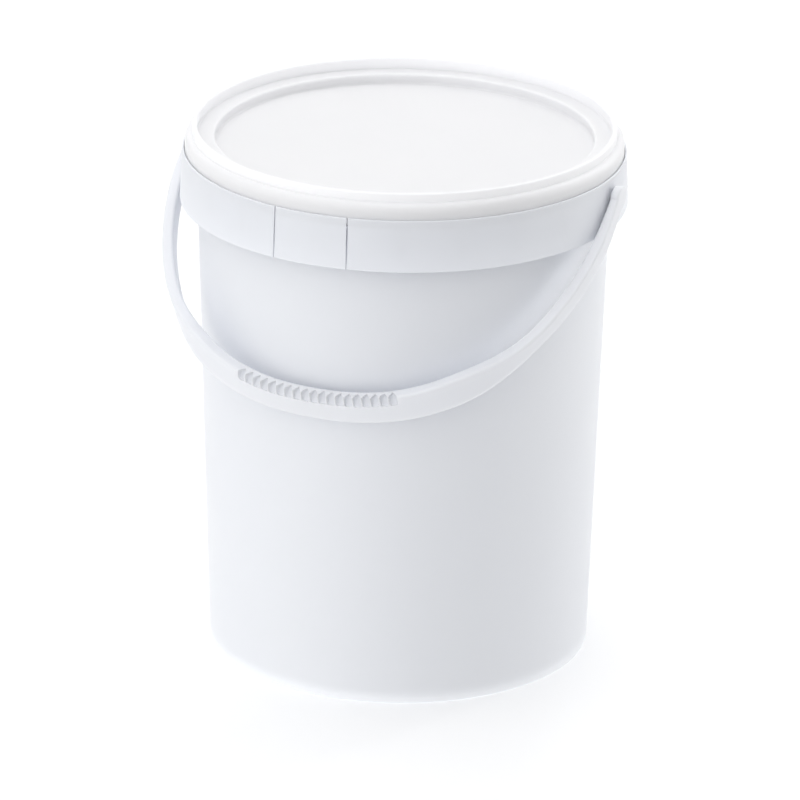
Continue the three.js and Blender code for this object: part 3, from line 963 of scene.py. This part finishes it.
def soft_surround(level, lobes):
    """Light from all round, with soft lobes that add to it or take from it.

    Each lobe is (heading, elevation, spread, strength at its middle).
    """
    world = bpy.data.worlds.new("soft_surround")
    bpy.context.scene.world = world
    world.use_nodes = True
    nodes, links = world.node_tree.nodes, world.node_tree.links
    place = nodes.new("ShaderNodeTexCoord")
    total = nodes.new("ShaderNodeValue")
    total.outputs[0].default_value = level
    sofar = total.outputs[0]
    for heading, elevation, spread, strength in lobes:
        towards = nodes.new("ShaderNodeVectorMath")
        towards.operation = "DOT_PRODUCT"
        towards.inputs[1].default_value = direction(heading, elevation)
        lobe = nodes.new("ShaderNodeMapRange")
        lobe.interpolation_type = "SMOOTHSTEP"
        lobe.inputs["From Min"].default_value = math.cos(math.radians(spread))
        lobe.inputs["From Max"].default_value = 1.0
        lobe.inputs["To Min"].default_value = 0.0
        lobe.inputs["To Max"].default_value = strength
        add = nodes.new("ShaderNodeMath")
        links.new(place.outputs["Generated"], towards.inputs[0])
        links.new(towards.outputs["Value"], lobe.inputs["Value"])
        links.new(sofar, add.inputs[0])
        links.new(lobe.outputs["Result"], add.inputs[1])
        sofar = add.outputs[0]
    links.new(sofar, nodes["Background"].inputs["Strength"])
    nodes["Background"].inputs["Color"].default_value = (1, 1, 1, 1)


def soft_light(name, heading, elevation, distance, size, power):
    """A rectangular light that faces the object's middle."""
    data = bpy.data.lights.new(name, "AREA")
    data.shape = "RECTANGLE"
    data.size, data.size_y = size
    data.energy = power
    light = bpy.data.objects.new(name, data)
    bpy.context.scene.collection.objects.link(light)
    aim = Vector((0, 0, ORBIT_HEIGHT))
    towards = direction(heading, elevation)
    light.location = aim + towards * distance
    light.rotation_euler = (-towards).to_track_quat("-Z", "Y").to_euler()


def photo_camera():
    """The camera that took the photograph, as fitted to the object's outlines."""
    data = bpy.data.cameras.new("camera")
    data.lens = CAMERA_LENS
    data.sensor_width = SENSOR_WIDTH
    data.clip_end = 100
    camera = bpy.data.objects.new("camera", data)
    bpy.context.scene.collection.objects.link(camera)
    towards = direction(CAMERA_HEADING, CAMERA_ELEVATION)
    aside = direction(CAMERA_HEADING + 90, 0)
    camera.location = Vector((0, 0, ORBIT_HEIGHT)) + towards * CAMERA_DISTANCE
    aim = Vector((0, 0, AIM_HEIGHT)) + aside * AIM_ASIDE
    look = (aim - camera.location).to_track_quat("-Z", "Y").to_matrix()
    roll = Matrix.Rotation(math.radians(CAMERA_ROLL), 3, "Z")
    camera.rotation_euler = (look @ roll).to_euler()
    bpy.context.scene.camera = camera


white_floor()
soft_surround(SURROUND_LEVEL, SURROUND_LOBES)
soft_light("tall_softbox", SOFTBOX_HEADING, SOFTBOX_ELEVATION, SOFTBOX_DISTANCE, SOFTBOX_SIZE, SOFTBOX_POWER)
photo_camera()
bpy.context.scene.view_settings.view_transform = "Standard"
bpy.context.scene.view_settings.exposure = EXPOSURE
